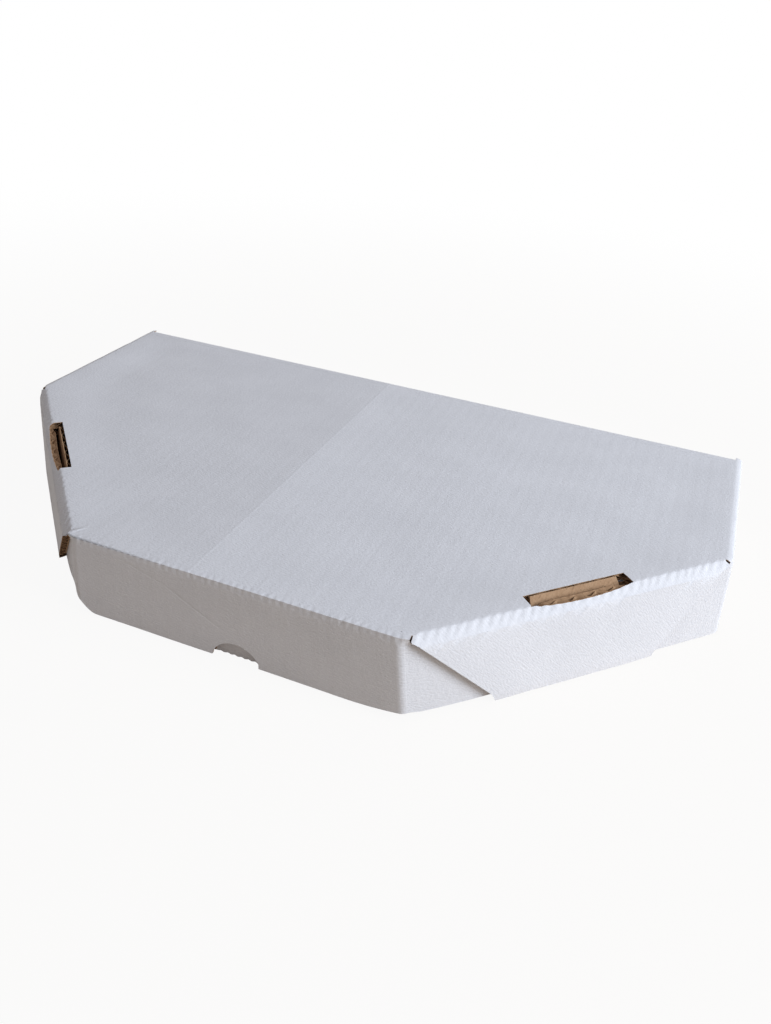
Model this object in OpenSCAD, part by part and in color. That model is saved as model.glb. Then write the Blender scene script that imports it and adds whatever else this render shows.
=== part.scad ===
// Six-sided calzone box, folded from one sheet of B-flute corrugated board.
// The lid is a full-depth cover that swings about the back edge of the tray.
// Origin: middle of the footprint, on the surface that the box stands on.
// The front wall faces -Y and the hinge edge lies at the back, towards +Y.

/* [Lid outline] */
// Width over the short side walls, just below the top
lid_w = 342; // [300:1:420]
// Depth from the front wall to the back wall, just below the top
lid_d = 199; // [180:1:240]
// Length of each short side wall
side_len = 98; // [86:1:116]
// Length of the front wall
front_len = 144; // [124:1:176]
// Height of the closed box
box_h = 37; // [32:0.5:60]

/* [Board] */
// Thickness of the corrugated board
board = 3; // [2.4:0.1:3.4]
// Inner radius of a scored fold
fold_r = 0.6; // [0.5:0.1:1.2]
// Relief left at each end of a scored fold, where two folds meet
fold_relief = 0.4; // [0.2:0.1:1]
// Outer radius of the upright corner folds
corner_r = 4.5; // [4:0.5:7]
// Air left between two layers that lie on each other
layer_gap = 0.2; // [0.15:0.05:0.3]

/* [Lid walls] */
// Outward lean of the front wall, in degrees
front_lean = 0.8; // [0:0.1:2]
// Outward lean of the short side walls, in degrees
side_lean = 4; // [0:0.5:6]
// Outward lean of the slanted walls, in degrees
slant_lean = 5.2; // [0:0.1:7]
// Height of the lid's free edges above the base
lid_lift = 1.6; // [1:0.1:4]
// Run of the diagonal cut at the front end of a slanted flap
front_cut = 43; // [34:1:46]
// Run of the diagonal cut at the side end of a slanted flap
side_cut = 29; // [20:1:34]
// Length of the ears held inside the slanted walls
ear_len = 50; // [38:1:54]

/* [Slots and tabs] */
// Length of the slot beside each slanted fold
slot_len = 46; // [43:1:52]
// Width of the slot
slot_w = 6.6; // [6.4:0.1:8]
// Width of the locking tab
tab_w = 40; // [30:1:42]
// Shift of the tab towards the front end of its slot
tab_shift = 2; // [0:0.1:2]
// How far the tab's end lies below the top of the lid
tab_drop = 0.5; // [0.2:0.1:1.5]

/* [Thumb notch] */
// Radius of the half-moon in the front wall's free edge
notch_r = 10; // [7:0.5:14]
// Height of the half-moon above that edge
notch_h = 8.1; // [5:0.1:9]
// Offset of the half-moon from the middle of the box
notch_x = 3; // [-10:0.5:10]

/* [Tray] */
// Clearance between the tray's walls and the lid's walls
fit_gap = 0.5; // [0.4:0.1:1.5]
// Clearance between the tray's rim and the underside of the lid
rim_gap = 0.3; // [0.2:0.05:0.8]
// Length of the glued ears inside the tray
tray_ear = 30; // [16:1:36]

/* [Hidden] */
$fn = 48;
arc_steps = 8;
wide = 400;
eps = 0.01;
white = [0.93, 0.93, 0.95];
kraft = [0.69, 0.56, 0.44];

// Outer radius of a scored fold, and the heights where folds end
fold_out = fold_r + board;
lid_bend_z = box_h - fold_out;
lid_drop = lid_bend_z - lid_lift;
rim_z = box_h - board - rim_gap;

// Outline of the lid's outer faces, seen from above
front_flare = lid_drop * tan(front_lean);
back_y = (lid_d + front_flare) / 2;
front_y = back_y - lid_d;
front_corner = [front_len / 2, front_y];
side_corner = [lid_w / 2, back_y - side_len];
slant_run = side_corner - front_corner;
slant_len = norm(slant_run);
slant_turn = atan2(slant_run.y, slant_run.x);

// Rolled edge of a slanted wall: three layers and the air between them
roll_r = (3 * board + 2 * layer_gap) / 2;
roll_z = lid_lift + roll_r;

// A wall is [direction it faces, distance of its outer face, lean]
lid_front = [-90, -front_y, front_lean];
lid_slant = [slant_turn - 90, dir(slant_turn - 90) * front_corner, slant_lean];
lid_side = [0, lid_w / 2, side_lean];
ear_step = board + layer_gap;

// The tray stands inside the lid's walls
slant_step = (2 * roll_r) / cos(slant_lean) + (fold_out - board) * tan(slant_lean);
tray_front = [-90, -front_y - board - fit_gap, 0];
tray_slant = [slant_turn - 90, lid_slant[1] - slant_step - fit_gap, 0];
tray_side = [0, lid_w / 2 - board - fit_gap, 0];
tray_back = [90, back_y, 0];

function dir(a) = [cos(a), sin(a)];
function along(a) = [-sin(a), cos(a)];
function inward(w, by) = [w[0], w[1] - by, w[2]];
function reach(w, drop) = w[1] + drop * tan(w[2]);

// Point where the outer faces of two walls cross, a given drop below the bend
function crossing(a, b, drop) =
    let (ra = reach(a, drop), rb = reach(b, drop), s = sin(b[0] - a[0]))
    [(ra * sin(b[0]) - rb * sin(a[0])) / s, (rb * cos(a[0]) - ra * cos(b[0])) / s];

// Rounded corner from wall a to wall b, at a depth of skin inside the outer face
function corner_arc(a, b, drop, skin) =
    let (c = crossing(inward(a, corner_r), inward(b, corner_r), drop))
    [for (i = [0:arc_steps]) c + (corner_r - skin) * dir(a[0] + (b[0] - a[0]) * i / arc_steps)];

function arc(c, r, from, to) =
    [for (i = [0:arc_steps]) c + r * dir(from + (to - from) * i / arc_steps)];
function reversed(list) = [for (i = [len(list) - 1:-1:0]) list[i]];
function mirrored(list) = [for (p = reversed(list)) [-p.x, p.y]];
function lifted(list, z) = [for (p = list) [p.x, p.y, z]];
function quad(a, b, c, d) = [[a, b, c], [a, c, d]];
function each_of(lists) = [for (l = lists) each l];

// Front wall and the ears round its two corners, as a path across the box
function belt_path(face, ear, length, drop, skin) =
    let (bend = corner_arc(face, ear, drop, skin),
         half = concat(bend, [bend[arc_steps] + length * along(ear[0])]))
    concat(mirrored(half), half);

// Ear, corner and short side wall, as a path that ends at the back
function side_path(ear, side, length, drop, skin) =
    let (bend = corner_arc(ear, side, drop, skin), last = bend[arc_steps])
    concat([bend[0] - length * along(ear[0])], bend, [[last.x, back_y]]);

// Upright sheet between an upper and a lower path of its outer and inner face
module sheet(outer_top, inner_top, outer_low, inner_low, z_top, z_low) {
    n = len(outer_top);
    points = concat(lifted(outer_top, z_top), lifted(inner_top, z_top),
                    lifted(outer_low, z_low), lifted(inner_low, z_low));
    spans = each_of([for (i = [0:n - 2]) each_of([
        quad(i, i + 1, 2 * n + i + 1, 2 * n + i),
        quad(n + i + 1, n + i, 3 * n + i, 3 * n + i + 1),
        quad(i + 1, i, n + i, n + i + 1),
        quad(2 * n + i, 2 * n + i + 1, 3 * n + i + 1, 3 * n + i)])]);
    ends = concat(quad(0, 2 * n, 3 * n, n), quad(n - 1, 2 * n - 1, 4 * n - 1, 3 * n - 1));
    polyhedron(points, concat(spans, ends), convexity = 8);
}

module belt(face, ear, length, z_top, z_low) {
    drop = z_top - z_low;
    sheet(belt_path(face, ear, length, 0, 0), belt_path(face, ear, length, 0, board),
          belt_path(face, ear, length, drop, 0), belt_path(face, ear, length, drop, board),
          z_top, z_low);
}

module side_belt(ear, side, length, z_top, z_low) {
    drop = z_top - z_low;
    sheet(side_path(ear, side, length, 0, 0), side_path(ear, side, length, 0, board),
          side_path(ear, side, length, drop, 0), side_path(ear, side, length, drop, board),
          z_top, z_low);
}

// How far a fold's centre moves outwards so that a leaning leg meets its wall's face
function bulge(lean) = fold_out * (1 - cos(lean) + sin(lean) * tan(lean));

// Section of a fold, seen along the fold, with the sheet's face at x = 0:
// the flat comes in from +x at height 0 and the leg runs down to the given drop
function bend_section(lean, drop) =
    let (c = [fold_out - bulge(lean), -fold_out], out = dir(180 + lean),
         leg = leg_down(drop, lean))
    concat([[fold_out + eps, 0]], arc(c, fold_out, 90, 180 + lean),
           [c + fold_out * out + leg, c + fold_r * out + leg],
           arc(c, fold_r, 180 + lean, 90), [[fold_out + eps, -board]]);

// Rolled double wall: outer leg, the roll round the ears, and a long inner leg
function roll_section(lean, drop) =
    let (c = [fold_out - bulge(lean), -fold_out], out = dir(180 + lean),
         leg = leg_down(drop, lean), k = c + (fold_out - roll_r) * out + leg)
    concat([c + fold_out * out], arc(k, roll_r, 180 + lean, 360 + lean),
           [k - roll_r * out - 2 * leg, k - (roll_r - board) * out - 2 * leg],
           arc(k, roll_r - board, 360 + lean, 180 + lean), [c + fold_r * out]);

// Leaning leg that starts at a fold and ends at a drop below the fold's centre
function leg_down(drop, lean) = -(drop - fold_out * sin(lean)) * [tan(lean), 1];

// Places a section along the right-hand slanted fold
module on_slant(from, to) {
    translate([front_corner.x, front_corner.y, box_h])
        rotate([0, 0, slant_turn])
            translate([from, 0, 0])
                rotate([90, 0, 90])
                    linear_extrude(to - from)
                        children();
}

module both_sides() {
    children();
    mirror([1, 0, 0]) children();
}

// Outline of a flat panel that ends where its folds begin
module panel_outline(front, slant, side, back) {
    f = inward(front, fold_out);
    s = inward(slant, fold_out);
    e = inward(side, fold_out);
    d = crossing(f, s, 0);
    c = crossing(s, e, 0);
    polygon([[-c.x, back], [-c.x, c.y], [-d.x, d.y], d, c, [c.x, back]]);
}

// Fold along a straight edge between two points of a panel, outside on the right
module edge_fold(from, to, lean, drop) {
    run = to - from;
    translate([from.x, from.y, 0])
        rotate([0, 0, atan2(run.y, run.x)])
            translate([fold_relief, -fold_out, 0])
                rotate([90, 0, 90])
                    linear_extrude(norm(run) - 2 * fold_relief)
                        polygon(bend_section(lean, drop));
}

module slot_cut() {
    mid = slant_len / 2;
    translate([front_corner.x, front_corner.y, box_h])
        rotate([0, 0, slant_turn])
            translate([mid - slot_len / 2, fold_out, -2 * board])
                cube([slot_len, slot_w, 3 * board]);
}

module slanted_wall() {
    drop = lid_bend_z - roll_z;
    tab_from = slant_len / 2 - tab_w / 2 - tab_shift;
    intersection() {
        on_slant(front_cut, slant_len - side_cut)
            polygon(roll_section(slant_lean, drop));
        between(0, rim_z);
    }
    intersection() {
        on_slant(tab_from, tab_from + tab_w)
            polygon(roll_section(slant_lean, drop));
        between(roll_z, box_h - tab_drop);
    }
    intersection() {
        on_slant(0, slant_len)
            polygon(bend_section(slant_lean, drop));
        flap_outline();
    }
}

// Trapezoid of the outer flap, cut square through the sheet
module flap_outline() {
    low = roll_z - box_h;
    start = crossing(inward(lid_front, fold_out), inward(lid_slant, fold_out), 0);
    stop = crossing(inward(lid_slant, fold_out), inward(lid_side, fold_out), 0);
    from = (start - front_corner) * dir(slant_turn) + fold_relief;
    to = (stop - front_corner) * dir(slant_turn) - fold_relief;
    translate([front_corner.x, front_corner.y, box_h])
        rotate([0, 0, slant_turn])
            translate([0, wide / 2, 0])
                rotate([90, 0, 0])
                    linear_extrude(wide)
                        polygon([[from, eps], [from, -board], [front_cut, low - eps],
                                 [slant_len - side_cut, low - eps], [to, -board], [to, eps]]);
}

// Everything between two heights
module between(low, high) {
    translate([-wide, -wide, low]) cube([2 * wide, 2 * wide, high - low]);
}

// Clears the lower corner of each ear where the rolled edge closes round it
module roll_room() {
    translate([front_corner.x, front_corner.y, 0])
        rotate([0, 0, slant_turn])
            translate([front_cut - layer_gap, -roll_r, -eps])
                cube([slant_len - side_cut - front_cut + 2 * layer_gap, 3 * roll_r, roll_z]);
}

module lid() {
    ear = inward(lid_slant, ear_step);
    f = inward(lid_front, fold_out);
    s = inward(lid_slant, fold_out);
    e = inward(lid_side, fold_out);
    d = crossing(f, s, 0);
    c = crossing(s, e, 0);
    color(white) {
        difference() {
            translate([0, 0, box_h - board])
                linear_extrude(board)
                    panel_outline(lid_front, lid_slant, lid_side, back_y - board);
            both_sides() slot_cut();
        }
        // Rounded back edge above the hinge line
        translate([-c.x, back_y - board, box_h - board])
            rotate([90, 0, 90])
                linear_extrude(2 * c.x)
                    intersection() {
                        circle(board);
                        translate([-eps, 0]) square(2 * board);
                    }
        difference() {
            translate([0, 0, box_h]) edge_fold([-d.x, d.y], d, front_lean, board);
            thumb_notch();
        }
        difference() {
            belt(lid_front, ear, ear_len - corner_r, lid_bend_z, lid_lift);
            thumb_notch();
            both_sides() roll_room();
        }
        both_sides() {
            translate([0, 0, box_h])
                edge_fold([c.x, c.y], [c.x, back_y], side_lean, board);
            difference() {
                side_belt(ear, lid_side, ear_len - corner_r, lid_bend_z, lid_lift);
                roll_room();
            }
            slanted_wall();
        }
    }
}

module thumb_notch() {
    translate([notch_x, front_y, lid_lift + notch_h - notch_r])
        rotate([90, 0, 0])
            cylinder(h = 6 * board, r = notch_r, center = true);
}

module tray() {
    ear = inward(tray_slant, ear_step);
    back_ear = inward(tray_side, ear_step);
    f = inward(tray_front, fold_out);
    s = inward(tray_slant, fold_out);
    e = inward(tray_side, fold_out);
    b = inward(tray_back, fold_out);
    d = crossing(f, s, 0);
    c = crossing(s, e, 0);
    leg = rim_z - fold_out;
    color(kraft) {
        linear_extrude(board)
            panel_outline(tray_front, tray_slant, tray_side, b[1]);
        mirror([0, 0, 1]) {
            edge_fold([-d.x, d.y], d, 0, board);
            edge_fold([e[1], b[1]], [-e[1], b[1]], 0, board);
            both_sides() {
                edge_fold(d, c, 0, leg);
                edge_fold(c, [e[1], b[1]], 0, leg);
            }
        }
        belt(tray_front, ear, tray_ear, rim_z, fold_out);
        mirror([0, 1, 0])
            belt([-90, back_y, 0], back_ear, tray_ear, rim_z, fold_out);
        both_sides() intersection() {
            side_belt(ear, tray_side, tray_ear, rim_z, fold_out);
            translate([-wide, b[1] - wide, 0]) cube([2 * wide, wide, wide]);
        }
    }
}

tray();
lid();
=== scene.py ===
import math
import bmesh
import bpy
from mathutils import Matrix, Vector, noise


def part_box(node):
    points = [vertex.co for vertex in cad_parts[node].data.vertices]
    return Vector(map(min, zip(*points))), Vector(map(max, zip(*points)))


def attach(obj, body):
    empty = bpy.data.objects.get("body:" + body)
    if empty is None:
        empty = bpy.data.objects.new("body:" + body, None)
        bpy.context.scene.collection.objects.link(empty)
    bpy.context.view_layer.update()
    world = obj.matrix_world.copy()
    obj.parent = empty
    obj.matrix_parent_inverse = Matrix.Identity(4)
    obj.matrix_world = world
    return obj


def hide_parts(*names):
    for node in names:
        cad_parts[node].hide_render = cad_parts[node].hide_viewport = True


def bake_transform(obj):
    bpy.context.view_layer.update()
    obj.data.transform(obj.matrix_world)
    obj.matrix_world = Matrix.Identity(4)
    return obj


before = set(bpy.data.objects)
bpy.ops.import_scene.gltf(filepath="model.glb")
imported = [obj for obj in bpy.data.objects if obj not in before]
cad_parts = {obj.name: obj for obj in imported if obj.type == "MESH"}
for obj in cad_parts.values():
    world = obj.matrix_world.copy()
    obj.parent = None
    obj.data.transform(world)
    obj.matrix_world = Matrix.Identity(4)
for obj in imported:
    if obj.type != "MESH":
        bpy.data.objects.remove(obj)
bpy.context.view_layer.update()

print("frame loaded")

# Blank and folding sizes are in millimetres, and meshes are made in metres
metre = 0.001

board = dict(
    thick=3.0,          # B-flute board over both liners
    liner=0.34,         # outer and inner paper
    flutePaper=0.26,    # the wavy paper between them
    pitch=6.1,          # one flute
    columns=8,          # mesh columns to a flute
    row=6.0,            # mesh rows along the flutes
    washboard=0.012,    # how far the flutes show through the liners
    foldOut=3.6,        # outer radius of a scored fold
    cornerOut=4.5,      # outer radius of the upright corners
    layerGap=0.2,       # air between two layers
    foldCuts=6,         # mesh steps round a fold
    cornerCuts=6,       # mesh steps round an upright corner
    settle=6.0,         # below the fold a wall reaches its full lean within this
    teeth=0.6,          # dents that the flutes leave along a fold
    teethIn=1.1,        # how far they reach in from the fold's edge
    teethLeast=0.45,    # the shallowest dents, as a share of the deepest
    relief=0.2,         # a fold stops this far from the panel's corner
)
board["middle"] = board["foldOut"] - board["thick"] / 2
board["cornerMiddle"] = board["cornerOut"] - board["thick"] / 2

lidSheet = dict(
    width=342.0, depth=199.0, side=98.0, front=144.0,
    height=1000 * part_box("lid")[1].z, backEdge=1000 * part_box("lid")[1].y,
    freeEdge=1.6, frontLean=0.8, sideLean=4.0, slantLean=5.2,
    frontCut=37.2, sideCut=35.2,                # from the flap's ends to its rolled edge
    ear=50.0, earTop=0.7, earTaper=2.5, earReach=2.6,
    earTuck=36.0, tuckUp=3.4,                   # past this an ear is shorter, to go into the rolled wall
    slotLength=45.4, slotTo=6.4, slotBow=1.2,
    slotFrom=(0.1, 0.8), slotAlong=(0.9, 3.8), slotOut=(0.0, 1.7),      # right and left
    tabWidth=39.8, tabShift=0.5, tabDrop=0.2, tabTaper=0.5,
    rollEdge=(0.55, 1.6), rollFlat=2.2,         # right and left height of the rolled edge, and its flat
    flapTaper=1.5, flapGap=0.15, flapIn=0.4, flapNick=(0.5, 1.2), flapFull=0.6,
    frontReach=3.0, sideReach=5.9,              # where the flap's cut edges leave the fold
    frontFold=0.9, sideFold=0.3, slantFold=-0.8, rollFold=0.8,    # above 0 sharper folds, below 0 flatter
    backRound=2.0,
    notchRadius=10.0, notchHeight=8.1, notchX=3.0,
)

traySheet = dict(
    rim=1000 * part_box("tray")[1].z, side=1000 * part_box("tray")[1].x, front=-1000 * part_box("tray")[0].y,
    back=1000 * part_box("tray")[1].y, fitGap=0.5, ear=30.0, earTop=1.0, earTaper=3.0, backRound=0.0,
    fold=0.8,
)

# Corners that are cut off every ear, in millimetres and in tapers
earCut = dict(root=5.0, shoulder=4, foot=3.2, footIn=2)


def compass(angle):
    return Vector((math.cos(math.radians(angle)), math.sin(math.radians(angle))))


def alongWall(angle):
    return compass(angle + 90)


# A wall faces an angle, and its outer face lies at a distance from the middle, with a lean outwards
def wall(faces, distance, lean=0.0):
    return dict(faces=faces, distance=distance, lean=lean)


def setIn(w, by):
    return wall(w["faces"], w["distance"] - by, w["lean"])


# The line where the flat panel ends and its fold begins
def foldLine(w):
    return wall(w["faces"], w["distance"] - board["foldOut"] / math.cos(math.radians(w["lean"])))


def crossing(a, b, drop=0.0):
    na, nb = compass(a["faces"]), compass(b["faces"])
    ra = a["distance"] + drop * math.tan(math.radians(a["lean"]))
    rb = b["distance"] + drop * math.tan(math.radians(b["lean"]))
    s = na.x * nb.y - na.y * nb.x
    return Vector(((ra * nb.y - rb * na.y) / s, (rb * na.x - ra * nb.x) / s))


# A folded path runs out over the panel's edge and down: each step is a bend in degrees or a flat length
def foldedPath(height, steps, shape=0.0, lowShape=0.0):
    place, heading, at, made = Vector((0, height)), 0.0, 0.0, []
    for kind, amount in steps:
        made.append((at, kind, place.copy(), heading))
        if kind == "bend":
            centre = place - board["foldOut"] * upFrom(heading)
            heading += amount
            place = centre + board["foldOut"] * upFrom(heading)
            at += board["middle"] * math.radians(amount)
        else:
            place = place + amount * aheadOf(heading)
            at += amount
    return dict(parts=made, length=at, shape=shape, lowShape=lowShape)


# How far a fold's outer face lies from its centre, part of the way round
def foldReach(turned, shape):
    a = math.radians(turned)
    if shape >= 0:
        return board["foldOut"] * (1 + shape * (1 / max(math.cos(a), math.sin(a)) - 1))
    return board["foldOut"] * (1 + shape * (1 - math.cos(math.pi / 4) / math.cos(a - math.pi / 4)))


def aheadOf(heading):
    return Vector((math.cos(math.radians(heading)), -math.sin(math.radians(heading))))


def upFrom(heading):
    return Vector((math.sin(math.radians(heading)), math.cos(math.radians(heading))))


def onPath(path, v, w):
    v = max(v, 0)
    start, kind, place, heading = [p for p in path["parts"] if p[0] <= v + 1e-6][-1]
    run = v - start
    if kind == "flat":
        return place + run * aheadOf(heading) + w * upFrom(heading)
    turned = heading + math.degrees(run / board["middle"])
    centre = place - board["foldOut"] * upFrom(heading)
    reach = foldReach(min(turned - heading, 90), path["shape" if heading == 0 else "lowShape"])
    return centre + (reach + w) * upFrom(turned)


# A group is one wall with its ears, as it lies flat beside its panel, and how it folds up
def makeGroup(w, path, pieces, lines, corner=None, ends="", origin=0.0, flip=(1, 1)):
    return dict(wall=w, path=path, pieces=pieces, lines=lines, corner=corner, ends=ends,
                origin=origin, flip=flip, foldAt=foldLine(w)["distance"],
                out=compass(w["faces"]), along=alongWall(w["faces"]))


def flatPoint(group, u, v):
    p = group["out"] * (group["foldAt"] + v) + group["along"] * (group["origin"] + u)
    return Vector((p.x, p.y, 0))


def mirroredGroup(group):
    return dict(group, flip=(-1, 1))


# Where a wall starts to turn into its ear, and how far round it goes
def cornerFacts(w, ear, neighbour):
    r, along = board["cornerOut"], alongWall(w["faces"])
    side = 1 if ear["faces"] > w["faces"] else -1
    turn = abs(math.radians(ear["faces"] - w["faces"]))
    return dict(ear=ear, start=crossing(setIn(w, r), setIn(ear, r)).dot(along), side=side, turn=turn,
                length=board["cornerMiddle"] * turn,
                foldEnd=crossing(foldLine(w), foldLine(neighbour)).dot(along) - side * board["relief"])


# Flutes collapse unevenly where the sheet is scored
def toothAt(flat):
    place = Vector((flat.x, flat.y, 0))
    wave = 0.5 + 0.5 * math.cos(4 * math.pi * flat.x / board["pitch"] + 2 * noise.noise(place * 0.11))
    return wave * (board["teethLeast"] + (1 - board["teethLeast"]) * abs(noise.noise(place * 0.23)))


# Depth of the dents across a fold: a sharp fold has its edge in the middle, a flat one at its start
def dentAt(flat, v, path):
    bend, inside = path["parts"][1][0], board["teethIn"]
    outside = inside if path["shape"] >= 0 else bend
    run = v - (bend / 2 if path["shape"] >= 0 else 0)
    if not -inside < run < outside:
        return 0.0
    share = (1 + run / inside) ** 2 if run < 0 else math.cos(math.pi / 2 * run / outside)
    return board["teeth"] * share * toothAt(flat)


def folded(group, p, w):
    fx, fy = group["flip"]
    flat = Vector((p.x * fx, p.y * fy))
    u = flat.dot(group["along"]) - group["origin"]
    v = flat.dot(group["out"]) - group["foldAt"]
    w -= dentAt(p, v, group["path"])
    at = foldedStraight(group, u, v, w)
    corner = group["corner"]
    if corner:
        mirror = group["ends"] == "both" and u < 0
        cu = -u if mirror else u
        if (cu - corner["start"]) * corner["side"] > 0:
            bendEnd = group["path"]["parts"][1][0]
            if v >= bendEnd:
                at = foldedCorner(group, corner, cu, v, w)
            else:
                share = (max(v, 0) / bendEnd) ** 2
                cut = foldedCorner(group, corner, cu, bendEnd, w)
                at = foldedStraight(group, cu, v, w)
                at = at + share * (cut - foldedStraight(group, cu, bendEnd, w))
            if mirror:
                at.x = -at.x
    return Vector((at.x * fx, at.y * fy, at.z))


def foldedStraight(group, u, v, w):
    side, z = onPath(group["path"], v, w)
    stretch = 1.0
    if group["corner"] and v > 0:
        corner, r = group["corner"], board["cornerOut"]
        drop = group["path"]["height"] - z
        settled = min(1.0, v / board["settle"])
        now = crossing(setIn(group["wall"], r), setIn(corner["ear"], r), drop).dot(group["along"])
        if group["ends"] == "both":
            stretch = 1 + (now / corner["start"] - 1) * settled
        else:
            span = group["far"] - corner["start"]
            u = group["far"] - (group["far"] - u) * (1 + (corner["start"] - now) / span * settled)
    p = group["out"] * (group["foldAt"] + side) + group["along"] * (group["origin"] + u * stretch)
    return Vector((p.x, p.y, z))


def foldedCorner(group, corner, u, v, w):
    r = board["cornerOut"]
    outer, z = onPath(group["path"], v, 0)
    side, z = onPath(group["path"], v, w)
    drop = group["path"]["height"] - z
    centre = crossing(setIn(group["wall"], r), setIn(corner["ear"], r), drop)
    past = (u - corner["start"]) * corner["side"]
    turned = min(past / board["cornerMiddle"], corner["turn"])
    facing = group["wall"]["faces"] + corner["side"] * math.degrees(turned)
    run = max(0.0, past - corner["length"]) * corner["side"]
    p = centre + (r + side - outer) * compass(facing) + run * alongWall(corner["ear"]["faces"])
    return Vector((p.x, p.y, z))


print("folding rules ready")


def bendLines(start, length):
    return [start + length * i / board["foldCuts"] for i in range(1, board["foldCuts"])]


# Lid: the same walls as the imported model, from the same sizes
def lidWalls(s):
    frontDistance = s["depth"] - s["backEdge"]
    corner = Vector((s["front"] / 2, -frontDistance))
    sideCorner = Vector((s["width"] / 2, s["backEdge"] - s["side"]))
    run = sideCorner - corner
    turn = math.degrees(math.atan2(run.y, run.x))
    slantFaces = turn - 90
    return dict(
        front=wall(-90, frontDistance, s["frontLean"]),
        slant=wall(slantFaces, compass(slantFaces).dot(corner), s["slantLean"]),
        side=wall(0, s["width"] / 2, s["sideLean"]),
        slantStart=alongWall(slantFaces).dot(corner), slantLength=run.length)


def straightPath(height, edge, lean, shape=0.0):
    top = height - board["foldOut"] * (1 - math.sin(math.radians(lean)))
    down = (top - edge) / math.cos(math.radians(lean))
    path = foldedPath(height, [("bend", 90 - lean), ("flat", down)], shape)
    path["height"] = height - board["foldOut"]
    return path


def rolledPath(s, edge):
    lean, r = s["slantLean"], board["foldOut"]
    down = (s["height"] - 2 * r - edge) / math.cos(math.radians(lean))
    up = (s["height"] - s["tabDrop"] - edge - r) / math.cos(math.radians(lean))
    steps = [("bend", 90 - lean), ("flat", down), ("bend", 90), ("flat", s["rollFlat"]),
             ("bend", 90), ("flat", up)]
    path = foldedPath(s["height"], steps, s["slantFold"], s["rollFold"])
    path["height"] = s["height"] - r
    return path


def lidGroups(s):
    walls = lidWalls(s)
    ear = setIn(walls["slant"], board["thick"] + board["layerGap"])
    frontPath = straightPath(s["height"], s["freeEdge"], s["frontLean"], s["frontFold"])
    sidePath = straightPath(s["height"], s["freeEdge"], s["sideLean"], s["sideFold"])
    return [beltGroup(s, walls["front"], walls["slant"], ear, frontPath),
            sideGroup(s, walls, ear, sidePath, s["backEdge"]),
            slantGroup(s, walls, 0), slantGroup(s, walls, 1)]


# A wall between two ears
def beltGroup(s, w, neighbour, ear, path, flip=(1, 1)):
    facts = cornerFacts(w, ear, neighbour)
    bend, end = path["parts"][1][0], path["length"]
    foldEnd, cornerEnd, reach = facts["foldEnd"], facts["start"] + facts["length"], s.get("earReach", 0)
    earEnd = cornerEnd + s["ear"] - board["cornerOut"]
    top = bend + s["earTop"]
    pieces = [
        [(-foldEnd, 0), (foldEnd, 0), (cornerEnd + reach, bend), (-cornerEnd - reach, bend)],
        [(-cornerEnd, bend), (cornerEnd, bend), (cornerEnd, end), (-cornerEnd, end)]]
    pieces += earPieces(s, cornerEnd, earEnd, bend, top, end)
    pieces += earPieces(s, -cornerEnd, -earEnd, bend, top, end)
    cuts = board["cornerCuts"]
    turning = [facts["start"] + facts["length"] * i / cuts for i in range(cuts + 1)]
    lines = dict(v=bendLines(0, bend) + [bend, top, end], u=[t * k for t in turning for k in (-1, 1)])
    return makeGroup(w, path, pieces, lines, corner=facts, ends="both", flip=flip)


# The ears of the lid step up where they go into the rolled wall
def earPieces(s, near, far, bend, top, end):
    taper, way = s["earTaper"], math.copysign(1, far - near)
    start = [(near, bend), (near + earCut["root"] * way, bend)]
    outer = [(far - way * taper, top), (far, top + earCut["shoulder"] * taper)]
    if "earTuck" in s:
        low, tuck = end - s["tuckUp"], near + way * s["earTuck"]
        return [start + [(tuck, top), (tuck, end), (near, end)],
                [(tuck, top)] + outer + [(far, low), (tuck, low)]]
    foot = [(far - way * taper, end - earCut["foot"]), (far - earCut["footIn"] * way * taper, end)]
    return [start + outer + foot + [(near, end)]]


def sideGroup(s, walls, ear, path, far):
    facts = cornerFacts(walls["side"], ear, walls["slant"])
    bend, end = path["parts"][1][0], path["length"]
    foldEnd, cornerEnd, reach = facts["foldEnd"], facts["start"] - facts["length"], s.get("earReach", 0)
    earEnd = cornerEnd - s["ear"] + board["cornerOut"]
    top = bend + s["earTop"]
    rounded = s["backRound"]
    pieces = [
        [(foldEnd, 0), (far, 0), (far, bend), (cornerEnd - reach, bend)],
        [(cornerEnd, bend), (far, bend), (far, end - rounded), (far - rounded, end), (cornerEnd, end)]]
    pieces += earPieces(s, cornerEnd, earEnd, bend, top, end)
    cuts = board["cornerCuts"]
    turning = [facts["start"] - facts["length"] * i / cuts for i in range(cuts + 1)]
    lines = dict(v=bendLines(0, bend) + [bend, top, end], u=turning)
    group = makeGroup(walls["side"], path, pieces, lines, corner=facts, ends="low")
    group["far"] = far
    return group


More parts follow.
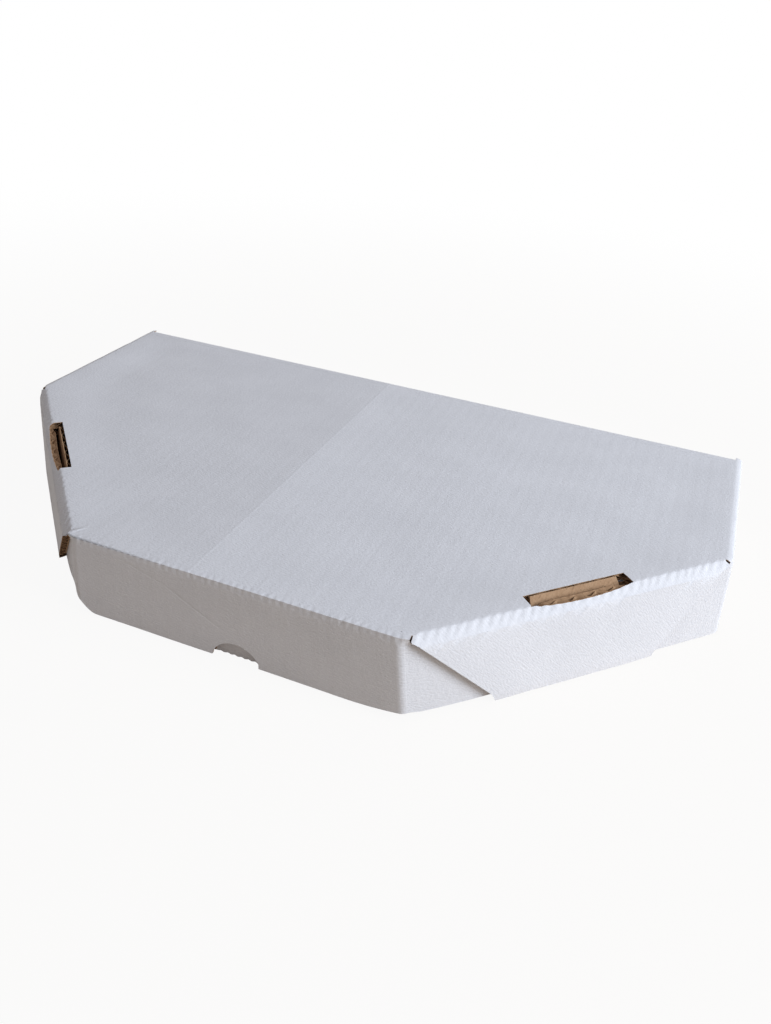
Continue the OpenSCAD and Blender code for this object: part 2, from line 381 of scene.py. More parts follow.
def slantGroup(s, walls, left):
    path = rolledPath(s, s["rollEdge"][left])
    starts = [p[0] for p in path["parts"]]
    length = walls["slantLength"]
    f = setIn(walls["front"], board["foldOut"])
    g = setIn(walls["slant"], board["foldOut"])
    e = setIn(walls["side"], board["foldOut"])
    first = crossing(f, g).dot(alongWall(g["faces"])) - walls["slantStart"] + s["flapGap"]
    last = crossing(g, e).dot(alongWall(g["faces"])) - walls["slantStart"] - s["flapGap"]
    low, high = s["frontCut"], length - s["sideCut"]
    flapEnd = path["length"] - board["thick"]
    tabFrom = length / 2 - s["tabWidth"] / 2 - s["tabShift"] + s["slotAlong"][left]
    tabTo = tabFrom + s["tabWidth"]
    taper, flapIn, full = s["flapTaper"], s["flapIn"], s["flapFull"] * starts[1]
    nickIn, nickDown = s["flapNick"]
    pieces = [
        [(first, 0), (last, 0), (length - nickIn, nickDown), (length - flapIn, full), (flapIn, full),
         (nickIn, nickDown)],
        [(flapIn, full), (length - flapIn, full), (length - s["sideReach"], starts[1]),
         (s["frontReach"], starts[1])],
        [(s["frontReach"], starts[1]), (length - s["sideReach"], starts[1]), (high, starts[3]),
         (low, starts[3])],
        [(low, starts[3]), (high, starts[3]), (high - taper, flapEnd), (low + taper, flapEnd)],
        [(tabFrom, flapEnd), (tabTo, flapEnd), (tabTo - s["tabTaper"], path["length"]),
         (tabFrom + s["tabTaper"], path["length"])]]
    rows = bendLines(0, starts[1]) + [full] + starts[1:] + bendLines(starts[2], starts[3] - starts[2])
    rows += bendLines(starts[4], starts[5] - starts[4]) + [flapEnd]
    lines = dict(v=rows, u=[])
    group = makeGroup(walls["slant"], path, pieces, lines, origin=walls["slantStart"])
    group.update(tab=(tabFrom, tabTo), roll=starts[2], legUp=starts[5], mid=length / 2 + s["slotAlong"][left],
                 slotOut=s["slotOut"][left], slotFrom=s["slotFrom"][left])
    return group


# Flat mesh whose columns follow the flutes, over a part of the blank
def flutedGrid(points):
    bm = bmesh.new()
    step, row = board["pitch"] / board["columns"], board["row"]
    lowX, highX = math.floor(min(p.x for p in points) / step), math.ceil(max(p.x for p in points) / step)
    lowY, highY = math.floor(min(p.y for p in points) / row), math.ceil(max(p.y for p in points) / row)
    bmesh.ops.create_grid(bm, x_segments=highX - lowX, y_segments=highY - lowY, size=0.5)
    bmesh.ops.scale(bm, vec=((highX - lowX) * step, (highY - lowY) * row, 1), verts=bm.verts)
    bmesh.ops.translate(bm, vec=((highX + lowX) / 2 * step, (highY + lowY) / 2 * row, 0), verts=bm.verts)
    return bm


def cutAll(bm, point, away, throw=False, faces=None):
    chosen = bm.faces[:] if faces is None else faces
    geometry = dict.fromkeys(chosen)        # keeps its order, so each run gives the same mesh
    for f in chosen:
        geometry.update(dict.fromkeys(f.edges))
        geometry.update(dict.fromkeys(f.verts))
    bmesh.ops.bisect_plane(bm, geom=list(geometry), dist=1e-4, plane_co=point, plane_no=away,
                           clear_outer=throw)


def clippedPatch(corners):
    bm = flutedGrid(corners)
    area = sum(a.x * b.y - b.x * a.y for a, b in zip(corners, corners[1:] + corners[:1]))
    for a, b in zip(corners, corners[1:] + corners[:1]):
        run = b - a
        away = Vector((run.y, -run.x, 0)) * (1 if area > 0 else -1)
        cutAll(bm, a, away, throw=True)
    return bm


def groupPatches(group):
    made = []
    for outline in group["pieces"]:
        bm = clippedPatch([flatPoint(group, u, v) for u, v in outline])
        for v in group["lines"]["v"]:
            cutAll(bm, flatPoint(group, 0, v), group["out"].to_3d())
        for u in group["lines"]["u"]:
            cutAll(bm, flatPoint(group, u, 0), group["along"].to_3d())
        made.append(bm)
    return made


# Cuts along a chain of points and drops the faces for which inside() is true
def cutShape(bm, chain, inside, near):
    for a, b in zip(chain, chain[1:]):
        middle, run = (a + b) / 2, b - a
        close = [f for f in bm.faces if near(f.calc_center_median(), a, b)]
        cutAll(bm, middle, Vector((run.y, -run.x, 0)), faces=close)
    gone = [f for f in bm.faces if inside(f.calc_center_median())]
    bmesh.ops.delete(bm, geom=gone, context="FACES")


def cutNotch(bm, group, s):
    end = group["path"]["length"]
    r, h = s["notchRadius"], s["notchHeight"]
    middle = end - h + r
    step = board["pitch"] / board["columns"]
    first = math.ceil((s["notchX"] - r) / step) * step
    columns = [first + i * step for i in range(int(2 * r / step) + 1)]
    chain = [(u, middle - math.sqrt(r * r - (u - s["notchX"]) ** 2)) for u in columns]
    points = [flatPoint(group, u, v) for u, v in chain if v < end + 1]
    centre = flatPoint(group, s["notchX"], middle)

    def inside(c):
        return (c - centre).length < r

    def near(c, a, b):
        return min(a.x, b.x) - 1e-4 < c.x < max(a.x, b.x) + 1e-4 and abs(c.y - a.y) < 3 * board["row"]

    cutShape(bm, points, inside, near)


# The slot's outer edge bows outwards into the fold, where the flap has pulled it open
def cutSlot(bm, group, s, mirror=1):
    half, shift, start = s["slotLength"] / 2, group["slotOut"], group["slotFrom"]
    steps = 12

    def outerEdge(u):
        return s["slotBow"] * (1 - (u / half) ** 2) - start + shift

    outer = [(half * (2 * i / steps - 1), outerEdge(half * (2 * i / steps - 1))) for i in range(steps + 1)]
    chain = outer + [(half, shift - s["slotTo"]), (-half, shift - s["slotTo"])]
    points = [flatPoint(group, group["mid"] + u, v) for u, v in chain]
    out, along, middle = group["out"].to_3d(), group["along"].to_3d(), flatPoint(group, group["mid"], 0)
    for p in points + [out, along, middle]:
        p.x *= mirror

    def inside(c):
        u, v = (c - middle).dot(along), (c - middle).dot(out)
        return abs(u) < half and shift - s["slotTo"] < v < outerEdge(u)

    def near(c, a, b):
        return (c - (a + b) / 2).length < (b - a).length / 2 + 3 * board["row"]

    cutShape(bm, points + points[:1], inside, near)


def addPatch(bm, patch, part, flip=(1, 1)):
    mark = bm.verts.layers.int.get("part")
    made = {v: bm.verts.new((v.co.x * flip[0], v.co.y * flip[1], 0)) for v in patch.verts}
    for v in made.values():
        v[mark] = part
    for f in patch.faces:
        corners = [made[v] for v in f.verts]
        bm.faces.new(corners[::-1] if flip[0] * flip[1] < 0 else corners)
    patch.free()


# One blank: its flat faces, and the fold rule that each vertex follows
def flatBlank(panel, groups, cuts):
    bm = bmesh.new()
    mark = bm.verts.layers.int.new("part")
    patch = clippedPatch(panel)
    for group in groups:
        for share in (0.35, 0.7, 1.0):      # rows of the mesh beside the fold, for its dents
            at, away = flatPoint(group, 0, -share * board["teethIn"]), group["out"].to_3d()
            flip = Vector((*group["flip"], 1))
            cutAll(patch, at * flip, away * flip)
    for cut in cuts:
        cut(patch)
    addPatch(bm, patch, 0)
    for i, group in enumerate(groups):
        for patch in groupPatches(group):
            if group.get("trim"):
                group["trim"](patch)
            addPatch(bm, patch, i + 1, group["flip"])
    for i in range(len(groups)):    # an ear and its neighbour overlap in the flat, and stay apart
        bmesh.ops.remove_doubles(bm, verts=[v for v in bm.verts if v[mark] in (0, i + 1)], dist=0.02)
    bmesh.ops.dissolve_degenerate(bm, edges=bm.edges, dist=0.02)
    bm.normal_update()
    bmesh.ops.reverse_faces(bm, faces=[f for f in bm.faces if f.normal.z < 0])
    return bm


def fluteWave(x):
    return math.cos(2 * math.pi * x / board["pitch"])


# The three papers: depth of the upper face below the outer face, thickness, how far the flutes move it
papers = dict(
    outer=dict(top=0.0, thick=board["liner"], wave=board["washboard"]),
    flutes=dict(top=-board["thick"] / 2 + board["flutePaper"] / 2, thick=board["flutePaper"],
                wave=(board["thick"] - 2 * board["liner"] - board["flutePaper"]) / 2),
    inner=dict(top=-board["thick"] + board["liner"], thick=board["liner"], wave=board["washboard"]),
)


def panelDent(groups, flat):
    dent = 0.0
    for group in groups:
        p = Vector((flat.x * group["flip"][0], flat.y * group["flip"][1]))
        dent = max(dent, dentAt(flat, p.dot(group["out"]) - group["foldAt"], group["path"]))
    return dent


def foldPaper(name, blank, groups, paper, shape, panelHeight, upsideDown, materials):
    bm = blank.copy()
    bmesh.ops.solidify(bm, geom=bm.faces[:], thickness=paper["thick"])
    levels = sorted(v.co.z for v in bm.verts)
    low, high = levels[len(levels) // 4], levels[3 * len(levels) // 4]
    for v in bm.verts:
        v.co.z = paper["top"] - (paper["thick"] if v.co.z < (low + high) / 2 else 0)
    bm.normal_update()
    uv = bm.loops.layers.uv.new("blank")
    for f in bm.faces:
        f.smooth = True
        f.material_index = 0 if f.normal.z > 0.5 else 1
        for loop in f.loops:
            loop[uv].uv = (loop.vert.co.x * metre, loop.vert.co.y * metre)
    mark = bm.verts.layers.int.get("part")
    for v in bm.verts:
        flat = v.co.copy()
        w = flat.z + paper["wave"] * (fluteWave(flat.x) - (1 if paper["top"] == 0 else 0))
        if v[mark] == 0:
            place = Vector((flat.x, flat.y, panelHeight + w - panelDent(groups, flat)))
        else:
            place = folded(groups[v[mark] - 1], flat, w)
        place = shape(place, Vector((flat.x, flat.y, w)), v[mark])
        if upsideDown:
            place.z = -place.z
        v.co = place * metre
    if upsideDown:
        bmesh.ops.reverse_faces(bm, faces=bm.faces)
    return meshPiece(name, bm, materials, "white_board" if paper["top"] == 0 else "kraft_board")


def meshPiece(name, bm, materials, slot):
    mesh = bpy.data.meshes.new(name)
    bm.to_mesh(mesh)
    bm.free()
    mesh.set_sharp_from_angle(angle=math.radians(38))
    piece = bpy.data.objects.new(name, mesh)
    bpy.context.scene.collection.objects.link(piece)
    for m in materials:
        mesh.materials.append(m)
    return piece


def plainShape(place, flat, part):
    return place


def smooth(a, b, x):
    t = min(max((x - a) / (b - a), 0.0), 1.0)
    return t * t * (3 - 2 * t)


# What folding and handling did to the lid, in millimetres
lidWear = dict(
    ridgeBack=-14.5, ridgeFront=-16.1,      # fold across the middle, from when the blank was packed
    leftSag=0.95, leftRun=45.0, rightSag=0.35, rightRun=22.0, edge=26.0,
    bumps=0.12,                             # soft unevenness of the top
    waves=0.22, wavesDown=12.0, wavesAcross=(30.0, 66.0),       # and of the front wall
    cornerFrom=68.0, cornerUp=(2.1, 7.5), cornerRun=(24.0, 9.0), cornerTail=(0.5, 1.0),   # right and left
    tailRun=(18.0, 4.0), leftLean=2.2, leanRun=22.0,
    sideEarDown=1.0, earRun=14.0, wallHeight=35.0,
    tabTop=(3.1, -0.1), tabThin=(0.4, 0.75), tabDeep=(-1.8, -0.8), tabDepth=6.5,        # right and left tab
    tabLow=26.0, tabBeside=9.0, tabSharp=5.0, tabLip=3.0,
    rollWave=0.35, rollFrom=12.0, rollTo=14.0,
    slotTurn=(70.0, 30.0), slotFlat=(0.8, 3.1),     # board pressed round at the slots' outer edges
)


def ridgeAt(y):
    share = (y + 99) / 197
    return lidWear["ridgeFront"] + (lidWear["ridgeBack"] - lidWear["ridgeFront"]) * share


def sagAt(walls, flat):
    x, k = flat.x - ridgeAt(flat.y), lidWear
    side = "left" if x < 0 else "right"
    sag = k[side + "Sag"] * (1 - math.exp(-abs(x) / k[side + "Run"]))
    point, inner = Vector((abs(flat.x), flat.y)), lidSheet["backEdge"] - board["thick"] - flat.y
    for name in ("front", "slant", "side"):
        inner = min(inner, foldLine(walls[name])["distance"] - point.dot(compass(walls[name]["faces"])))
    bumps = k["bumps"] * (1 + noise.noise(Vector((flat.x, flat.y, 0)) * 0.025))
    return (sag + bumps) * smooth(0, k["edge"], inner)


def lidShape(s, walls, groups, place, flat, part):
    k = lidWear
    if part == 0:
        place.z -= sagAt(walls, flat)
        return place
    depth = s["height"] - place.z
    if part in (3, 5):
        return slantShape(s, groups[part - 1], place, flat, part == 5, depth)
    low = (depth / k["wallHeight"]) ** 2
    if part == 1:
        side = 1 if flat.x < 0 else 0
        run, tail = k["cornerRun"][side], k["cornerTail"][side]
        reach = abs(flat.x) - k["cornerFrom"]
        share = max(0, 1 + reach / run) ** 2
        if reach > 0:
            slow, quick = (math.exp(-(reach / length) ** 2) for length in k["tailRun"])
            share = tail * slow + (1 - tail) * quick
        place.z += k["cornerUp"][side] * low * share
        if flat.x < 0:
            place.x += k["leftLean"] * low * math.exp(-(reach / k["leanRun"]) ** 2)
        wave = smooth(0, k["wavesDown"], depth - board["thick"])
        wave = wave * (1 - smooth(*k["wavesAcross"], abs(place.x)))
        place.y += k["waves"] * wave * (1 + noise.noise(Vector((place.x * 0.02, depth * 0.03, 3))))
    else:
        place.z -= k["sideEarDown"] * low * (1 - smooth(0, k["earRun"], place.y))
    return place


# The rolled wall: a wavy lower edge, and a tab that leans inwards until it meets its slot
def slantShape(s, group, place, flat, left, depth):
    k, fx = lidWear, group["flip"][0]
    local = Vector((flat.x * fx, flat.y))
    u = local.dot(group["along"]) - group["origin"]
    v = local.dot(group["out"]) - group["foldAt"]
    out = Vector((group["out"].x * fx, group["out"].y, 0))
    roll, legUp = group["roll"], group["legUp"]
    if v > roll - k["rollFrom"]:
        share = smooth(roll - k["rollFrom"], roll, v) * (1 - smooth(legUp, legUp + k["rollTo"], v))
        place.z += share * k["rollWave"] * (noise.noise(Vector((u * 0.05, 5 if left else 9, 0))) - 0.2)
    i = 1 if left else 0
    if v < 0.1 * roll and abs(u - group["mid"]) < s["slotLength"] / 2 and flat.z < -0.03:
        fromMiddle = 2 * (u - group["mid"]) / s["slotLength"]
        bend = math.radians(k["slotTurn"][i]) * (1 - fromMiddle ** 6) * (1 - smooth(*k["slotFlat"], v))
        now = v / board["middle"]
        rise = Vector((0, 0, math.cos(now + bend) - math.cos(now)))
        place += flat.z * ((math.sin(now + bend) - math.sin(now)) * out + rise)
    if v < legUp:
        return place
    tabFrom, tabTo = group["tab"]
    here = smooth(tabFrom - k["tabBeside"], tabFrom + 1, u)
    here = here * (1 - smooth(tabTo - 1, tabTo + k["tabBeside"], u))
    top, deep = k["tabTop"][i], k["tabDeep"][i]
    if depth < k["tabDepth"]:
        push = top + (deep - top) * depth / k["tabDepth"]
    else:
        push = deep * (1 - smooth(k["tabDepth"], k["tabLow"], depth))
    thin = 1 - (1 - k["tabThin"][i]) * (1 - smooth(0.5, k["tabSharp"], depth))
    kraftFace = group["wall"]["distance"] - 2 * (board["thick"] + board["layerGap"])
    kraftFace += (depth - board["foldOut"]) * math.tan(math.radians(group["wall"]["lean"]))
    across = kraftFace - place.dot(out)
    move = across * (1 - thin) - push
    place += out * move * here
    if depth < k["tabLip"]:
        place.z -= 0.2 * max(across, 0) * here * (1 - depth / k["tabLip"])
    return place


def panelOutline(walls, back):
    f, g, e = (foldLine(walls[w]) for w in ("front", "slant", "side"))
    d, c = crossing(f, g), crossing(g, e)
    return [Vector(p) for p in ((-c.x, back, 0), (-c.x, c.y, 0), (-d.x, d.y, 0), (d.x, d.y, 0),
                                (c.x, c.y, 0), (c.x, back, 0))]


def foldSheet(name, blank, groups, shape, panelHeight, upsideDown, materials):
    made = {}
    for paper, facts in papers.items():
        made[paper] = foldPaper(name + "_" + paper, blank, groups, facts, shape, panelHeight, upsideDown,
                                materials[paper])
        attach(made[paper], name)
        print(name, paper, len(made[paper].data.polygons))
    blank.free()
    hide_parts(name)


def buildLid(s, materials):
    groups = lidGroups(s)
    front, side, slant, leftSlant = groups
    front["trim"] = lambda patch: cutNotch(patch, front, s)
    walls = lidWalls(s)
    slant["trim"] = lambda patch: cutSlot(patch, slant, s)
    leftSlant["trim"] = lambda patch: cutSlot(patch, leftSlant, s)
    cuts = [lambda patch: cutSlot(patch, slant, s), lambda patch: cutSlot(patch, leftSlant, s, -1)]
    every = [front, side, slant, mirroredGroup(side), mirroredGroup(leftSlant)]
    blank = flatBlank(panelOutline(walls, s["backEdge"] - crease["flat"]), every, cuts)
    shape = lambda place, flat, part: lidShape(s, walls, every, place, flat, part)
    foldSheet("lid", blank, every, shape, s["height"], False, materials)


# The crease between tray and lid: the white liner runs round it, and brown liner lines it
crease = dict(flat=6.0, round=board["thick"], cap=0.35, cuts=10, trayIn=0.2, lidIn=0.02, gap=0.05)


def creaseStrip(name, rows, thick, material, slot):
    step = board["pitch"] / board["columns"]
    half = lidSheet["width"] / 2 - board["foldOut"] - crease["lidIn"]
    if name == "tray_crease":
        half = traySheet["side"] - crease["trayIn"]
    count = 2 * int(half / step)
    bm = bmesh.new()
    bmesh.ops.create_grid(bm, x_segments=count, y_segments=len(rows) - 1, size=0.5)
    for v in bm.verts:
        y, z = rows[round((v.co.y + 0.5) * (len(rows) - 1))]
        v.co = Vector((round(v.co.x * count) * step, y, z))
    edgeOn(bm, half)
    bmesh.ops.recalc_face_normals(bm, faces=bm.faces)
    if bm.faces[0].normal.z < 0:
        bmesh.ops.reverse_faces(bm, faces=bm.faces)
    uv = bm.loops.layers.uv.new("blank")
    run = {}
    for a, b in zip(rows, rows[1:]):
        run[b] = run.get(a, 0) + math.hypot(b[0] - a[0], b[1] - a[1])
    bmesh.ops.solidify(bm, geom=bm.faces[:], thickness=thick)
    for f in bm.faces:
        f.smooth = True
        for loop in f.loops:
            nearest = min(rows, key=lambda r: (r[0] - loop.vert.co.y) ** 2 + (r[1] - loop.vert.co.z) ** 2)
            loop[uv].uv = (loop.vert.co.x * metre, (rows[0][0] + run.get(nearest, 0)) * metre)
    bmesh.ops.scale(bm, vec=(metre, metre, metre), verts=bm.verts)
    return meshPiece(name, bm, [material], slot)


def edgeOn(bm, half):
    end = max(v.co.x for v in bm.verts)
    for v in bm.verts:
        if abs(v.co.x) > end - 1e-4:
            v.co.x = math.copysign(half, v.co.x)


def buildCrease(s, t, white, brown):
    back, top, r = s["backEdge"], s["height"], crease["round"]
    rows = [(back - crease["flat"], top), (back - r - 1.2, top)]
    for i in range(crease["cuts"] + 1):
        a = math.pi / 2 * i / crease["cuts"]
        rows.append((back - r + r * math.sin(a), top - r + r * math.cos(a)))
    rows += [(back, top - r - 0.15), (back, t["rim"] - crease["cap"])]
    liner = creaseStrip("crease_liner", rows, board["liner"], white, "white_board")
    back * metre
    back * metre
    (top - r) * metre
    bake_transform(liner)
    under = top - board["thick"] + board["liner"]
    end = back - board["liner"] - crease["gap"]
    rows = [(back - crease["flat"], under), (back - 3, under), (end, under)]
    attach(creaseStrip("lid_crease", rows, board["liner"], brown, "kraft_board"), "lid")
    inner = back - board["thick"]
    rows = [(inner + 0.02, t["rim"] - 0.15), (inner + 0.3, t["rim"]), (end, t["rim"])]
    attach(creaseStrip("tray_crease", rows, board["liner"], brown, "kraft_board"), "tray")
    print("crease ready")


# Tray: stands inside the lid's walls, so it is folded the other way up
def trayWalls(s, lid):
    slant = lidWalls(lid)["slant"]
    lean = math.radians(slant["lean"])
    rolled = (3 * board["thick"] + 2 * board["layerGap"]) / math.cos(lean)
    rolled += (board["foldOut"] - board["thick"]) * math.tan(lean)
    return dict(front=wall(-90, s["front"]), side=wall(0, s["side"]),
                slant=wall(slant["faces"], slant["distance"] - rolled - s["fitGap"]))


def plainGroup(walls, path):
    w = walls["slant"]
    bend, end = path["parts"][1][0], path["length"]
    along = alongWall(w["faces"])
    first = crossing(foldLine(walls["front"]), foldLine(w)).dot(along) + board["relief"]
    last = crossing(foldLine(w), foldLine(walls["side"])).dot(along) - board["relief"]
    lines = dict(v=bendLines(0, bend) + [bend], u=[])
    return makeGroup(w, path, [[(first, 0), (last, 0), (last, end), (first, end)]], lines)


def buildTray(s, lid, materials):
    walls = trayWalls(s, lid)
    step = board["thick"] + board["layerGap"]
    ear = setIn(walls["slant"], step)
    path = straightPath(0, -s["rim"], 0, s["fold"])
    back = s["back"] - board["foldOut"]
    front = beltGroup(s, walls["front"], walls["slant"], ear, path)
    rearPath = straightPath(0, crease["cap"] - s["rim"], 0, s["fold"])
    rearWall, rearEar = wall(-90, s["back"]), setIn(walls["side"], step)
    rear = beltGroup(s, rearWall, walls["side"], rearEar, rearPath, flip=(1, -1))
    side = sideGroup(s, walls, ear, path, back)
    slant = plainGroup(walls, path)
    every = [front, rear, side, slant, mirroredGroup(side), mirroredGroup(slant)]
    blank = flatBlank(panelOutline(walls, back), every, [])
    foldSheet("tray", blank, every, plainShape, 0, True, materials)


# A socket that takes part in sums, and the finish that its nodes belong to
class Wire:
    def __init__(self, finish, socket):
        self.finish, self.socket = finish, socket

    def __add__(self, other):
        return self.finish.maths("ADD", self, other)

    def __sub__(self, other):
        return self.finish.maths("SUBTRACT", self, other)

    def __rsub__(self, other):
        return self.finish.maths("SUBTRACT", other, self)

    def __mul__(self, other):
        return self.finish.maths("MULTIPLY", self, other)

    __radd__, __rmul__ = __add__, __mul__


class Finish:
    def __init__(self, name, tree=None):
        if tree is None:
            self.material = bpy.data.materials.new(name)
            self.material.use_nodes = True
            tree = self.material.node_tree
        self.tree = tree
        tree.nodes.clear()

    def add(self, kind, settings=None, inputs=None, out=0):
        node = self.tree.nodes.new("ShaderNode" + kind)
        for key, value in (settings or {}).items():
            if key == "stops":
                for i, (place, colour) in enumerate(value):
                    stop = node.color_ramp.elements[i] if i < 2 else node.color_ramp.elements.new(place)
                    stop.position, stop.color = place, colour
            else:
                setattr(node, key, value)
        for key, value in (inputs or {}).items():
            if isinstance(value, Wire):
                self.tree.links.new(value.socket, node.inputs[key])
            else:
                node.inputs[key].default_value = value
        return Wire(self, node.outputs[out]) if len(node.outputs) else None

    def maths(self, operation, *values):
        return self.add("Math", dict(operation=operation), dict(enumerate(values)))

    def blank(self):
        return self.add("UVMap", dict(uv_map="blank"))

    def part(self, vector, axis):
        return self.add("SeparateXYZ", None, {0: vector}, out=axis)

    # Noise round zero, in features of a given length and breadth in metres
    def grain(self, vector, length, breadth, detail=2.0, turn=0.0):
        placed = self.add("Mapping", dict(vector_type="POINT"), {"Vector": vector, "Rotation": (0, 0, turn),
                                                                "Scale": (1 / length, 1 / breadth, 1)})
        return self.add("TexNoise", dict(noise_dimensions="2D"),
                        {"Vector": placed, "Scale": 1.0, "Detail": detail}) - 0.5

    def clamp(self, value, low, high):
        return self.add("MapRange", dict(clamp=True, interpolation_type="SMOOTHSTEP"),
                        {"Value": value, "From Min": low, "From Max": high})

    def tint(self, factor, a, b):
        a, b = (c if isinstance(c, Wire) else (*c, 1) for c in (a, b))
        return self.add("Mix", dict(data_type="RGBA"), {"Factor": factor, "A": a, "B": b}, out=2)

    def finishOff(self, colour, roughness, height, shader):
        normal = self.add("Bump", None, {"Height": height, "Distance": 1.0, "Strength": 1.0})
        inputs = dict(shader)
        inputs.update({"Base Color": colour, "Roughness": roughness, "Normal": normal})
        bsdf = self.add("BsdfPrincipled", None, inputs)
        self.add("OutputMaterial", None, {"Surface": bsdf})
        return self.material


# Handling creases on the blank: from, to, breadth and height, in metres
creases = [
    dict(start=(-0.0145, 0.0997), end=(-0.0161, -0.1010), breadth=0.0010, height=0.00003),
    dict(start=(-0.0668, -0.0925), end=(-0.0700, -0.0968), breadth=0.0014, height=0.00035),
    dict(start=(-0.0455, -0.0993), end=(-0.0264, -0.1049), breadth=0.0008, height=-0.00008),
    dict(start=(-0.0264, -0.1049), end=(-0.0022, -0.1179), breadth=0.0008, height=-0.00010),
]


def creaseHeight(f, x, y, c):
    (ax, ay), (bx, by) = c["start"], c["end"]
    length = math.hypot(bx - ax, by - ay)
    tx, ty = (bx - ax) / length, (by - ay) / length
    along = (x - ax) * tx + (y - ay) * ty
    across = (x - ax) * ty - (y - ay) * tx
    inside = f.clamp(along, -0.002, 0.004) * (1 - f.clamp(along, length - 0.004, length + 0.002))
    ridge = 1 - f.clamp(f.maths("ABSOLUTE", across), 0, c["breadth"])
    return ridge * inside * c["height"]


whiteLook = dict(
    pale=(0.855, 0.86, 0.875), shade=(0.79, 0.795, 0.81), speck=(0.5, 0.47, 0.44), rough=0.66,
    tilt=0.03, ridge=(-0.0153, 0.004), top=(-0.0976, -0.0970),      # the top tilts left of the old fold
    earTilt=0.10, earFrom=0.068, earTo=(0.114, 0.116), earTop=(-0.0999, -0.0993),
)


def whiteLiner():
    f = Finish("whiteLiner")
    flat = f.blank()
    x, y = f.part(flat, 0), f.part(flat, 1)
    clouds = f.grain(flat, 0.030, 0.022, 3)
    fibres = f.grain(flat, 0.0014, 0.0007, 3)
    streaks = f.grain(flat, 0.0055, 0.00055, 2)
    fine = f.grain(flat, 0.0007, 0.0007, 2)
    specks = f.clamp(f.grain(flat, 0.0016, 0.0011, 1, 0.6), 0.285, 0.33)
    tone = 0.5 + 1.1 * clouds + 1.0 * fibres + 0.6 * streaks
    colour = f.tint(f.clamp(tone, 0, 1), whiteLook["shade"], whiteLook["pale"])
    colour = f.tint(specks * 0.25, colour, whiteLook["speck"])
    height = 0.00013 * fibres + 0.00006 * streaks + 0.00003 * fine
    for c in creases:
        height = height + creaseHeight(f, x, y, c)
    ridge = whiteLook["ridge"][0] + whiteLook["ridge"][1] * y
    onTop = f.clamp(y, *whiteLook["top"])
    height = height + whiteLook["tilt"] * onTop * f.maths("MINIMUM", x - ridge, 0)
    beside = f.maths("ABSOLUTE", x)
    onEar = (1 - f.clamp(y, *whiteLook["earTop"])) * (1 - f.clamp(beside, *whiteLook["earTo"]))
    height = height + whiteLook["earTilt"] * onEar * f.maths("MAXIMUM", beside - whiteLook["earFrom"], 0)
    rough = whiteLook["rough"] + 0.12 * fibres + 0.1 * clouds
    shader = {"Specular IOR Level": 0.35, "Sheen Weight": 0.06, "Sheen Roughness": 0.6}
    return f.finishOff(colour, rough, height, shader)


def brownPaper(name, light, dark, speck, rough):
    f = Finish(name)
    flat = f.blank()
    clouds = f.grain(flat, 0.018, 0.012, 3)
    fibres = f.grain(flat, 0.0030, 0.0008, 3)
    cross = f.grain(flat, 0.0007, 0.0022, 2, 0.4)
    chips = f.clamp(f.grain(flat, 0.0022, 0.0009, 1, 0.3), 0.2, 0.27)
    tone = 0.5 + 0.8 * clouds + 1.1 * fibres + 0.6 * cross
    colour = f.tint(f.clamp(tone, 0, 1), dark, light)
    colour = f.tint(chips * 0.5, colour, speck)
    height = 0.00008 * fibres + 0.00005 * cross
    return f.finishOff(colour, rough + 0.15 * fibres, height, {"Specular IOR Level": 0.25})


white = whiteLiner()
brown = brownPaper("kraftLiner", (0.54, 0.35, 0.205), (0.42, 0.255, 0.14), (0.22, 0.12, 0.06), 0.82)
fluting = brownPaper("flutingPaper", (0.46, 0.29, 0.165), (0.33, 0.195, 0.105), (0.18, 0.10, 0.05), 0.88)
paperMaterials = dict(outer=[white, fluting], flutes=[fluting, fluting], inner=[fluting, brown])
print("papers ready")

buildLid(lidSheet, paperMaterials)
buildTray(traySheet, lidSheet, paperMaterials)
buildCrease(lidSheet, traySheet, white, brown)

# Camera at the photograph's angle
view = dict(place=(0.13359, -0.30813, 0.22308), ahead=(-0.28620, 0.79894, -0.52896),
            up=(-0.24769, 0.47160, 0.84631), lens=29.75, sensor=36)


def addCamera():
    data = bpy.data.cameras.new("camera")
    data.lens, data.sensor_width = view["lens"], view["sensor"]
    data.clip_start, data.clip_end = 0.01, 20
    camera = bpy.data.objects.new("camera", data)
    ahead, up = Vector(view["ahead"]).normalized(), Vector(view["up"]).normalized()
    right = ahead.cross(up)
    turned = Matrix((right, up, -ahead)).transposed().to_4x4()
    camera.matrix_world = Matrix.Translation(view["place"]) @ turned
    bpy.context.scene.collection.objects.link(camera)
    bpy.context.scene.camera = camera


addCamera()


studio = dict(
    key=(1.62, -0.02, 0.84), keyPower=28.1, keySize=0.95, keyColour=(0.875, 0.95, 1.07),
    skyHigh=(0.37, 0.362, 0.385), skyLow=(0.10, 0.077, 0.064), skySide=0.75,
    floor=(0.69, 0.585, 0.47), floorWhite=0.93, floorReach=0.8,
)


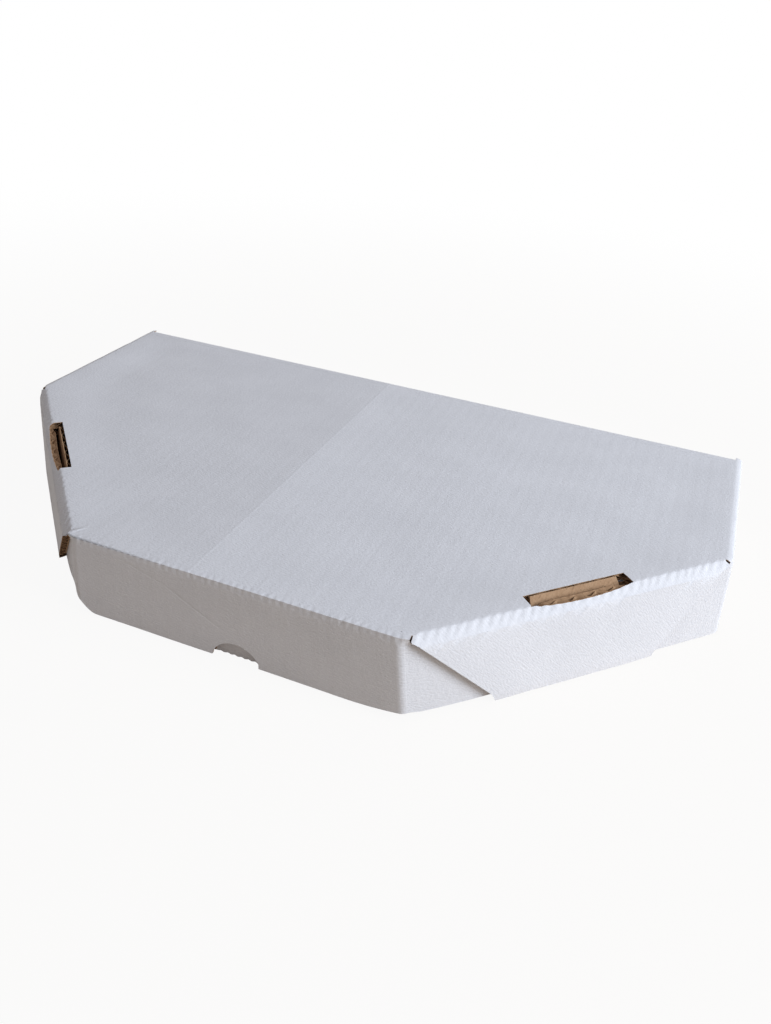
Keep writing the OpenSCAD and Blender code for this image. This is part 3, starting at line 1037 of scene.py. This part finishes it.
def addLamp(name, place, power, size, colour):
    data = bpy.data.lights.new(name, "AREA")
    data.energy, data.size, data.color = power, size, colour
    lamp = bpy.data.objects.new(name, data)
    lamp.location = place
    lamp.rotation_euler = (Vector((0, 0, 0.02)) - Vector(place)).to_track_quat("-Z", "Y").to_euler()
    bpy.context.scene.collection.objects.link(lamp)


# White for the camera and for reflections, without more light on the box
def seenRays(f):
    seen = ("Is Camera Ray", "Is Glossy Ray", "Is Transmission Ray")
    rays = [f.add("LightPath", None, None, out=name) for name in seen]
    return f.maths("MINIMUM", rays[0] + rays[1] + rays[2], 1)


def addWorld():
    world = bpy.data.worlds.new("studio")
    bpy.context.scene.world = world
    world.use_nodes = True
    f = Finish("studio", world.node_tree)
    way = f.add("TexCoord", None, None, out="Generated")
    up = f.clamp(f.part(way, 2) + studio["skySide"] * f.part(way, 0), -0.5, 1.1)
    sky = f.tint(up, studio["skyLow"], studio["skyHigh"])
    soft = f.add("Background", None, {"Color": sky, "Strength": 1.0})
    plain = f.add("Background", None, {"Color": (1, 1, 1, 1), "Strength": 1.0})
    f.add("OutputWorld", None, {"Surface": f.add("MixShader", None, {0: seenRays(f), 1: soft, 2: plain})})


def addFloor():
    bm = bmesh.new()
    bmesh.ops.create_circle(bm, cap_ends=True, segments=96, radius=14)
    mesh = bpy.data.meshes.new("floor")
    bm.to_mesh(mesh)
    bm.free()
    floor = bpy.data.objects.new("floor", mesh)
    bpy.context.scene.collection.objects.link(floor)
    f = Finish("floor")
    place = f.add("TexCoord", None, None, out="Object")
    away = f.add("VectorMath", dict(operation="LENGTH"), {0: place}, out="Value")
    share = studio["floorWhite"] + (1 - studio["floorWhite"]) * f.clamp(away, 0.2, studio["floorReach"])
    lit = f.add("BsdfDiffuse", None, {"Color": (*studio["floor"], 1)})
    plain = f.add("Emission", None, {"Color": (1, 1, 1, 1), "Strength": 1.0})
    mixed = f.add("MixShader", None, {0: seenRays(f) * share, 1: lit, 2: plain})
    f.add("OutputMaterial", None, {"Surface": mixed})
    mesh.materials.append(f.material)


addLamp("key", studio["key"], studio["keyPower"], studio["keySize"], studio["keyColour"])
addWorld()
addFloor()
bpy.context.scene.view_settings.view_transform = "Standard"
print("studio ready")
